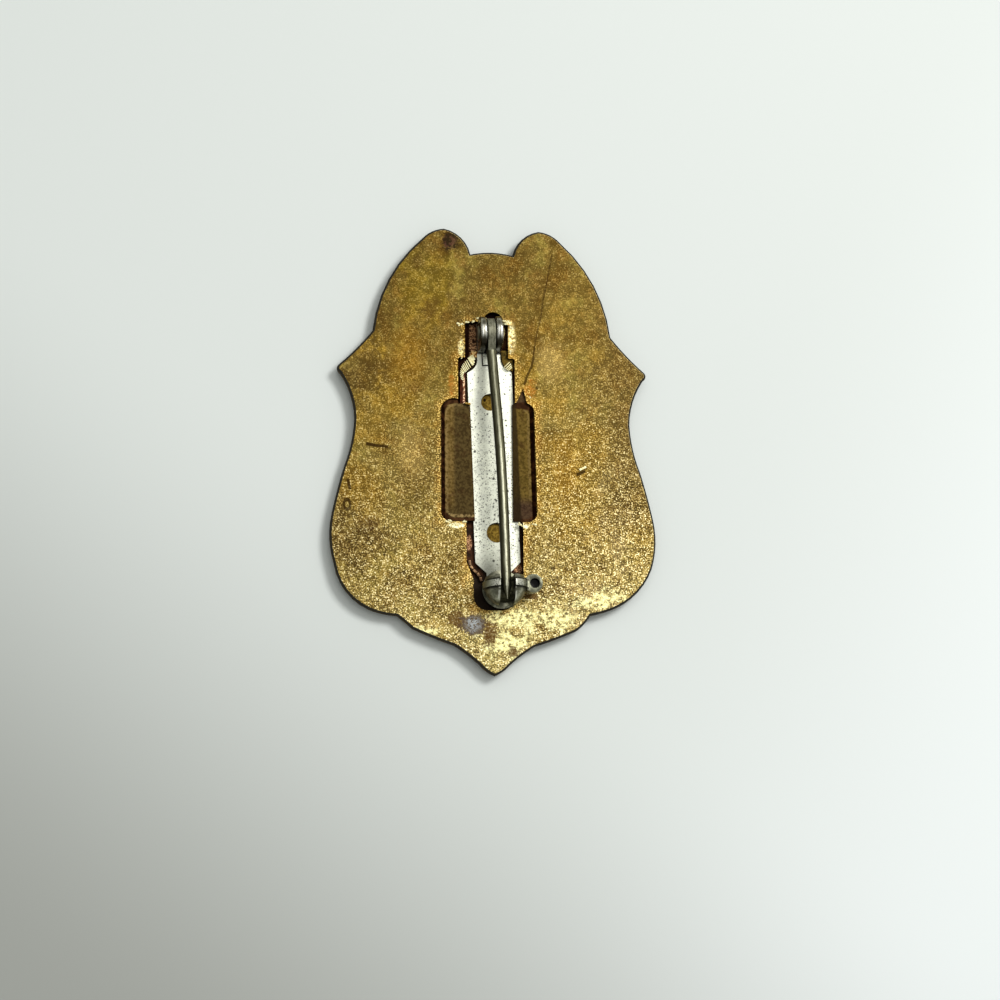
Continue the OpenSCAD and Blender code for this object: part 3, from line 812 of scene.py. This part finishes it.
# each ridge by its outer and its inner end
ribLook = {"width": 0.145, "height": 0.16, "middle": 1.6, "round": 0.04,
           "leftRidges": (((-2.96, 11.58), (-2.45, 10.61)), ((-3.15, 11.41), (-2.66, 10.41)),
                          ((-3.32, 11.18), (-2.81, 10.25)), ((-3.46, 10.99), (-2.97, 10.09)),
                          ((-3.57, 10.77), (-3.11, 9.99)), ((-3.68, 10.48), (-3.27, 9.89)),
                          ((-3.74, 10.22), (-3.33, 9.79)), ((-3.78, 9.97), (-3.36, 9.63)),
                          ((-3.78, 9.71), (-3.36, 9.44)), ((-3.75, 9.46), (-3.35, 9.22)),
                          ((-3.67, 9.18), (-3.36, 9.0))),
           "rightRidges": (((1.79, 10.74), (2.52, 11.48)), ((1.95, 10.53), (2.7, 11.27)),
                           ((2.12, 10.4), (2.78, 11.03)), ((2.33, 10.36), (2.8, 10.8))),
           "solidEnd": (((-2.72, 11.93), (-2.11, 10.94)), ((-2.5, 12.1), (-2.02, 11.2)),
                        ((-2.3, 12.25), (-1.96, 11.6))),
           "solidWidth": 0.34, "solidDrop": 0.02}
wornLook = {"bright": ((232, 216, 150), (255, 248, 196)), "side": (70, 52, 20)}


def wornBrass():
    paint = Paint("wornBrass")
    fine = paint.noise(4.0, 2.0, 0.6)
    body = paint.blend(fine.rise(0.36, 0.56), *wornLook["bright"])
    body = paint.blend(paint.faceZ.rise(0.7, 0.2), body, wornLook["side"])
    return paint.finish(body, 0.25, 0.4 + 0.2 * fine)


def fromPocket(x, y, z):
    # a place in mm from the middle of the pocket, as Blender takes it
    return ((x + pocket["x"]) * mm, (y + pocket["y"]) * mm, z * mm)


def block(x, y, z, turn, length, width, height):
    # sizes and place in mm, turned about its middle
    bpy.ops.object.select_all(action="DESELECT")
    bpy.ops.mesh.primitive_cube_add(size=1, location=fromPocket(x, y, z), rotation=(0, 0, turn))
    made = bpy.context.active_object
    made.scale = (length * mm, width * mm, height * mm)
    return made


def bridge(ends, z, width, height):
    # a block laid between two places
    (x0, y0), (x1, y1) = ends
    turn = math.atan2(y1 - y0, x1 - x0)
    return block((x0 + x1) / 2, (y0 + y1) / 2, z, turn, math.hypot(x1 - x0, y1 - y0), width, height)


def joined(parts, name):
    # one piece at the origin
    only(*parts)
    bpy.ops.object.transform_apply(location=True, rotation=True, scale=True)
    if len(parts) > 1:
        bpy.ops.object.join()
    piece = bpy.context.active_object
    bpy.context.scene.cursor.location = (0, 0, 0)
    bpy.ops.object.origin_set(type="ORIGIN_CURSOR")
    piece.name = piece.data.name = name
    return piece


def stakedRibs():
    # short ridges that the staking punch left over the shoulders; the left row ends in solid metal
    look = ribLook
    parts = []
    for ends in (*look["leftRidges"], *look["rightRidges"]):
        parts.append(bridge(ends, look["middle"], look["width"], look["height"]))
    for ends in look["solidEnd"]:
        parts.append(bridge(ends, look["middle"] - look["solidDrop"], look["solidWidth"], look["height"]))
    ribs = joined(parts, "stakedRibs")
    soften(ribs, look["round"], 2)
    return ribs


# each row of burrs is x, y, its reach both ways, its turn in degrees and how many it has
burrLook = {"seed": 11, "long": (0.24, 0.55), "wide": (0.13, 0.26), "high": 0.11, "middle": 1.99,
            "tilt": 0.2, "scatter": 30, "shake": 0.1, "shakeSize": 0.22,
            "rows": ((-3.6, 16.1, 0.5, 0.2, 25, 6), (-2.6, 16.5, 0.5, 0.1, 12, 6),
                     (-1.1, 16.98, 0.6, 0.05, 8, 6), (2.0, 16.5, 0.4, 0.25, -30, 8),
                     (2.7, 14.9, 0.2, 1.0, 85, 6), (2.6, 13.2, 0.12, 0.7, 90, 4),
                     (-3.7, 13.2, 0.25, 0.9, 85, 5), (-3.62, 12.0, 0.15, 0.3, 60, 2),
                     (-4.55, -9.62, 0.65, 0.12, 0, 10), (-3.5, -9.2, 0.3, 0.06, 30, 4),
                     (-5.5, -9.2, 0.4, 0.15, -30, 5), (3.6, -9.3, 0.35, 0.25, -50, 5),
                     (5.2, -9.4, 0.5, 0.1, 15, 6), (5.2, 7.3, 0.2, 0.4, -60, 1),
                     (4.35, -16.9, 0.12, 0.4, 80, 3)),
            "nick": {"x": 11.62, "y": -2.1, "z": 2.02, "turn": math.radians(27),
                     "length": 0.95, "width": 0.26, "height": 0.2}}


def burr(chance, x, y, turn):
    # one flat fleck, a little tilted and turned by chance
    look = burrLook
    tilt = chance.uniform(-look["tilt"], look["tilt"])
    spin = math.radians(turn + chance.uniform(-look["scatter"], look["scatter"]))
    bpy.ops.object.select_all(action="DESELECT")
    where = {"location": fromPocket(x, y, look["middle"]), "rotation": (0, tilt, spin)}
    bpy.ops.mesh.primitive_ico_sphere_add(subdivisions=2, radius=0.5, **where)
    made = bpy.context.active_object
    made.scale = (chance.uniform(*look["long"]) * mm, chance.uniform(*look["wide"]) * mm, look["high"] * mm)
    return made


def raisedFlecks():
    # bright burrs thrown up along the edge of the pocket, and a nick on the right with one end driven up
    look = burrLook
    chance = random.Random(look["seed"])
    parts = []
    for x, y, reachX, reachY, turn, count in look["rows"]:
        for i in range(count):
            px, py = x + chance.uniform(-reachX, reachX), y + chance.uniform(-reachY, reachY)
            parts.append(burr(chance, px, py, turn))
    parts.append(block(**look["nick"]))
    flecks = joined(parts, "raisedFlecks")
    shake = bpy.data.textures.new("fleckShake", "CLOUDS")
    shake.noise_scale = look["shakeSize"] * mm
    only(flecks)
    cuts = flecks.modifiers.new("cuts", "SUBSURF")
    cuts.subdivision_type = "SIMPLE"
    cuts.levels = cuts.render_levels = 1
    bpy.ops.object.modifier_apply(modifier="cuts")
    push = flecks.modifiers.new("push", "DISPLACE")
    push.texture = shake
    push.strength = look["shake"] * mm
    push.mid_level = 0.5
    bpy.ops.object.modifier_apply(modifier="push")
    bpy.ops.object.shade_smooth_by_angle(angle=math.radians(40))
    return flecks


wearAndHighlight = wornBrass()
for piece in (stakedRibs(), raisedFlecks()):
    piece.data.materials.append(wearAndHighlight)
    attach(piece, "badge")

ridgeLook = {"path": ((-2.7, -13.9), (-2.6, -14.6), (-2.25, -15.1), (-1.75, -15.5), (-1.35, -16.0),
                      (-1.2, -16.6)),
             "middle": 1.0, "width": 0.42, "height": 0.5, "round": 0.1,
             "copper": ((84, 60, 40), (160, 128, 90)), "side": (34, 20, 12)}


def rubbedCopper():
    look = ridgeLook
    paint = Paint("rubbedCopper")
    fine = paint.noise(3.0, 2.0, 0.6)
    body = paint.blend(fine.rise(0.4, 0.62), *look["copper"])
    body = paint.blend(paint.faceZ.rise(0.8, 0.3), body, look["side"])
    return paint.finish(body, 0.8, 0.35 + 0.2 * fine)


def copperRidge():
    # a raised copper-coloured bead beside the lower left shoulder of the strip
    look = ridgeLook
    path = look["path"]
    parts = [bridge(ends, look["middle"], look["width"], look["height"]) for ends in zip(path, path[1:])]
    bead = joined(parts, "copperRidge")
    soften(bead, look["round"], 3)
    return bead


ridge = copperRidge()
ridge.data.materials.append(rubbedCopper())
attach(ridge, "badge")
print("ribs, flecks and ridge done")

# stemTop and stemLean say where the stem lies over the strip; pits are cells to a mm and a pit's reach
barLook = {"edgeRound": 0.06, "earRound": 0.24, "earFrom": 2.1, "earAway": 1.01, "earTop": 14.45,
           "rivetY": 14.7, "rivetZ": 3.35, "rivetKeep": 1.0, "stemTop": 14.78, "stemLean": 0.01235,
           "clean": (242, 243, 222), "dullAndShaded": (224, 225, 208), "stemShadowTone": (166, 169, 152),
           "rightEdge": (160, 160, 144), "catchShadeTone": (112, 112, 98), "dust": (128, 126, 108),
           "pit": (26, 22, 18), "pits": ((0.7, 0.15), (1.3, 0.2), (2.2, 0.26), (4.0, 0.34)),
           "side": (40, 36, 22), "foot": (28, 25, 20), "ear": ((122, 117, 98), (178, 173, 152)),
           "earHighlight": (248, 246, 236), "earFootShade": (66, 61, 49)}


def stripTones(paint, cloud, dust, across):
    # painted shadow of the stem along its left side, darker at the right edge, painted shade towards the
    # catch, and pitted all over
    look = barLook
    y = paint.y
    fromStem = across - (look["stemTop"] - y) * look["stemLean"]
    wavy = fromStem + (cloud - 0.5) * 1.2
    leftOfStem = fromStem.rise(0.4, 0.0)
    body = paint.blend(cloud.rise(0.4, 0.7), look["clean"], look["dullAndShaded"])
    # painted shadow of the stem, on the strip along its left side
    dullAndShaded = wavy.rise(-1.9, -0.9) * leftOfStem * (0.1 + 0.35 * y.rise(9.0, 4.0))
    body = paint.blend(dullAndShaded, body, look["stemShadowTone"])
    body = paint.blend(across.rise(2.1, 2.85) * y.rise(10.0, 4.0) * 0.8, body, look["rightEdge"])
    # painted shade on the strip towards the catch
    body = paint.blend(leftOfStem * y.rise(-12.0, -15.6) * 0.7, body, look["catchShadeTone"])
    body = paint.blend(dust.rise(0.5, 0.7) * (0.35 + 0.35 * y.rise(7.0, -2.0)), body, look["dust"])
    many = 0.25 + 0.75 * y.rise(7.0, 1.0) * y.rise(-14.5, -10.0)
    for perMm, wide in look["pits"]:
        far, pick = paint.cells(perMm)
        pit = far.rise(wide, wide * 0.55) * (pick - many * 0.5).rise(0.02, 0.0)
        body = paint.blend(pit * 0.9, body, look["pit"])
    return body


def brightNickel():
    look = barLook
    paint = Paint("brightNickel")
    y, z = paint.y, paint.z
    across = paint.x - pocket["strip"] + y * pocket["slope"]
    cloud = paint.noise(0.45, 3.0, 0.6)
    dust = paint.noise(5.0, 2.0, 0.6)
    body = stripTones(paint, cloud, dust, across)
    body = paint.blend(abs(paint.faceZ).rise(0.8, 0.4) * z.rise(1.6, 1.2), body, look["side"])
    # painted shade: black round the feet of the ears
    body = paint.blend(z.rise(1.6, 1.5) * (y + (cloud - 0.5) * 0.8).rise(12.35, 12.6), body, look["foot"])
    # the ears are darker, with painted highlights in streaks over their crowns and painted shade at their
    # feet
    ears = z.rise(1.6, 1.9)
    streak = paint.noise(2.2, 2.0, 0.6, stretch=(2.6, 0.25, 0.25))
    body = paint.blend(ears, body, paint.blend(streak.rise(0.38, 0.62), *look["ear"]))
    # painted highlight over the crowns of the ears
    overEar = abs(abs(across) - look["earAway"]).rise(0.02, 0.12)
    crown = ears * abs(y - look["earTop"]).rise(1.15, 0.35) * z.rise(4.6, 5.1) * overEar
    body = paint.blend(crown * (0.45 + 0.5 * streak.rise(0.36, 0.54)), body, look["earHighlight"])
    # painted shade on the lower part of the ears
    body = paint.blend(ears * y.rise(14.1, 13.4), body, look["earFootShade"])
    return paint.finish(body, 0.6 + 0.35 * ears, 0.4 + 0.12 * cloud - 0.2 * ears, dust)


def onEar(edge):
    # true for the sharp edges of an ear, but for those round the rivet
    look = barLook
    high = min(vertex.co.z for vertex in edge.verts) > look["earFrom"] * mm
    middle = (edge.verts[0].co + edge.verts[1].co) / 2
    fromRivet = math.hypot(middle.y - look["rivetY"] * mm, middle.z - look["rivetZ"] * mm)
    if not high or fromRivet < look["rivetKeep"] * mm or len(edge.link_faces) != 2:
        return False
    return edge.calc_face_angle(0) > 0.9


strip = copyOf("pin_bar", "nickelBar")
bevelEdges(strip, onEar, barLook["earRound"])
soften(strip, barLook["edgeRound"], 2)
strip.data.materials.append(brightNickel())
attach(strip, "badge")
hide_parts("pin_bar")
print("pin bar done")

# cut between cutTop and cutOver mm below it, and bowed between bowTop and bowFoot
stemLook = {"lift": 1.0, "side": 0.14, "power": 1.2, "cuts": 28, "cutTop": 12.0, "cutOver": 31.0,
            "bowTop": 12.6, "bowFoot": -17.6, "edgeRound": 0.12,
            "grey": ((86, 84, 62), (118, 116, 90)), "wearAndHighlight": (216, 214, 188), "flank": (50, 48, 32),
            "eye": ((112, 110, 90), (158, 156, 134)), "speck": (56, 50, 32)}


def greyWire():
    look = stemLook
    paint = Paint("greyWire")
    y = paint.y
    streak = paint.noise(1.4, 3.0, 0.6, stretch=(3.0, 0.2, 3.0))
    speck = paint.noise(5.0, 2.0, 0.6)
    onEye = y.rise(12.7, 13.4)
    body = paint.blend(streak.rise(0.35, 0.7), *look["grey"])
    # painted highlight along the top of the wire, brighter towards the catch
    wearAndHighlight = abs(paint.faceX + 0.03).rise(0.3, 0.1) * (0.25 + 0.5 * y.rise(5.0, -3.0))
    body = paint.blend(wearAndHighlight * (0.6 + 0.4 * streak.rise(0.36, 0.56)), body, look["wearAndHighlight"])
    # painted shade on the sides of the wire
    body = paint.blend(abs(paint.faceX).rise(0.5, 0.78) * 0.8, body, look["flank"])
    eye = paint.blend(streak.rise(0.36, 0.62), *look["eye"])
    body = paint.blend(onEye * paint.faceZ.rise(0.2, 0.7), body, eye)
    body = paint.blend(speck.rise(0.56, 0.7) * 0.55, body, look["speck"])
    return paint.finish(body, 0.85, 0.36 + 0.2 * streak + 0.15 * onEye, speck, 0.25)


def bowWire(piece):
    # the wire is cut into short lengths and bowed between its eye and the catch
    look = stemLook
    only(piece)
    bpy.ops.object.mode_set(mode="EDIT")
    for i in range(1, look["cuts"]):
        cutY = look["cutTop"] - look["cutOver"] * i / look["cuts"]
        bpy.ops.mesh.select_all(action="SELECT")
        bpy.ops.mesh.bisect(plane_co=(0, cutY * mm, 0), plane_no=(0, 1, 0))
    bpy.ops.object.mode_set(mode="OBJECT")
    for vertex in piece.data.vertices:
        along = (look["bowTop"] - vertex.co.y / mm) / (look["bowTop"] - look["bowFoot"])
        amount = math.sin(math.pi * min(max(along, 0.0), 1.0)) ** look["power"]
        vertex.co.x += look["side"] * amount * mm
        vertex.co.z += look["lift"] * amount * mm


stem = copyOf("pin_stem", "bowedStem")
bowWire(stem)
soften(stem, stemLook["edgeRound"], 3, smooth=50, weighted=False)
stem.data.materials.append(greyWire())
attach(stem, "pin")
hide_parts("pin_stem")
print("stem done")

# axis of the ring and hole of its lever, from the middle of the pocket
catchAxis = {"x": 1.3055, "y": -17.578, "z": 4.3, "holeX": 4.925, "holeY": 0.1}
# the outer surface of the ring and of the ball starts just past one radius and is brought to another
catchLook = {"tarnish": ((108, 107, 88), (178, 176, 152)), "speck": (52, 49, 38),
             "grooveShade": (46, 44, 34), "band": ((92, 92, 75), (156, 156, 134)), "bright": (240, 238, 220),
             "bowlRimHighlight": (206, 204, 176), "lever": ((76, 76, 61), (110, 110, 90)),
             "leverRimHighlight": (208, 210, 190), "hole": (12, 11, 8), "lipAway": 1.04,
             "ring": {"past": 2.7, "radius": 2.79, "fromAxis": True},
             "ball": {"past": 2.63, "radius": 2.62, "fromAxis": False}}


def bandTones(paint, body, cloud, speck, out, along):
    # painted shade beside the band, the band's own lighter tone, and painted highlights over its crown, on
    # its lips and along the lower rim of the ball
    look = catchLook
    z = paint.z
    onBall = out.rise(3.0, 2.9)
    # painted shade in the grooves beside the band
    body = paint.blend(abs(along).rise(0.8, 0.5) * onBall * z.rise(4.0, 5.0), body, look["grooveShade"])
    band = abs(along).rise(0.43, 0.38) * out.rise(2.5, 2.65) * onBall
    body = paint.blend(band, body, paint.blend(cloud.rise(0.36, 0.6), *look["band"]))
    # painted highlight over the crown of the band
    body = paint.blend(band * z.rise(5.9, 6.8) * speck.rise(0.36, 0.5), body, look["bright"])
    # painted highlights on the lips of the slot
    lipHighlights = abs(abs(paint.x - catchAxis["x"]) - look["lipAway"]).rise(0.16, 0.06)
    lipHighlights = lipHighlights * along.rise(-0.5, -0.7) * z.rise(5.4, 6.0) * onBall
    body = paint.blend(lipHighlights * cloud.rise(0.34, 0.5) * 0.8, body, look["bright"])
    # painted highlight along the lower rim of the ball
    low = paint.faceZ.rise(-0.3, -0.18) * paint.faceZ.rise(0.02, -0.08)
    low = low * paint.faceY.rise(-0.3, -0.5) * onBall
    return paint.blend(low * 0.8, body, look["bowlRimHighlight"])


def leverTones(paint, body, cloud, out, along):
    # thumb lever: darker, with a painted highlight along its outer rim and painted shade, black, inside its
    # hole
    look = catchLook
    lever = out.rise(2.95, 3.05)
    body = paint.blend(lever, body, paint.blend(cloud.rise(0.4, 0.6), *look["lever"]))
    fromHole = (((paint.x - catchAxis["holeX"]) ** 2.0) + (along - catchAxis["holeY"]) ** 2.0).root()
    # painted highlight on the lower right of the lever's rim
    leverHighlight = lever * abs(paint.faceZ).rise(0.97, 0.7) * (paint.faceX - paint.faceY).rise(0.3, 0.9)
    body = paint.blend(leverHighlight, body, look["leverRimHighlight"])
    # painted shade inside the hole
    return paint.blend(lever * fromHole.rise(0.74, 0.66) * paint.z.rise(4.96, 4.86), body, look["hole"])


def darkNickel(name, onCatch):
    # tarnished nickel; on the catch it carries painted shade and painted highlights on the band, its rims
    # and the thumb lever
    look = catchLook
    paint = Paint(name)
    cloud = paint.noise(1.1, 3.0, 0.6)
    speck = paint.noise(5.0, 2.0, 0.6)
    body = paint.blend(cloud.rise(0.38, 0.7), *look["tarnish"])
    body = paint.blend(speck.rise(0.56, 0.7) * 0.5, body, look["speck"])
    if onCatch:
        besideAxis = paint.x - catchAxis["x"]
        out = ((besideAxis ** 2.0) + ((paint.z - catchAxis["z"]) ** 2.0)).root()
        along = (paint.y - catchAxis["y"]) + besideAxis * -pocket["slope"]
        body = bandTones(paint, body, cloud, speck, out, along)
        body = leverTones(paint, body, cloud, out, along)
    return paint.finish(body, 0.8, 0.26 + 0.2 * cloud, speck)


def moveSurface(piece, surface):
    # brings an outer surface to another distance from the catch's axis, or from the middle of its ball
    middle = Vector((catchAxis["x"] + pocket["x"], catchAxis["y"] + pocket["y"], catchAxis["z"]))
    for vertex in piece.data.vertices:
        offset = vertex.co / mm - middle
        if surface["fromAxis"]:
            offset.y = 0.0
        if surface["past"] < offset.length < surface["past"] + 0.1:
            vertex.co += offset * (surface["radius"] / offset.length - 1.0) * mm


darkPlain = darkNickel("darkNickel", False)
darkCatch = darkNickel("catchPaintedLight", True)
# CAD node, piece, body, edge round, material and the surface that is moved
smallPieces = (("hinge_rivet", "domedRivet", "badge", 0.08, darkPlain, None),
               ("catch_housing", "catchBall", "badge", 0.14, darkCatch, catchLook["ball"]),
               ("catch_lock", "lockRing", "lock", 0.12, darkCatch, catchLook["ring"]))
for nodeName, pieceName, owner, edgeRound, material, surface in smallPieces:
    piece = copyOf(nodeName, pieceName)
    if surface:
        moveSurface(piece, surface)
    soften(piece, edgeRound, 3, angle=35, smooth=45, weighted=False)
    piece.data.materials.append(material)
    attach(piece, owner)
    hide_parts(nodeName)
print("rivet and catch done")
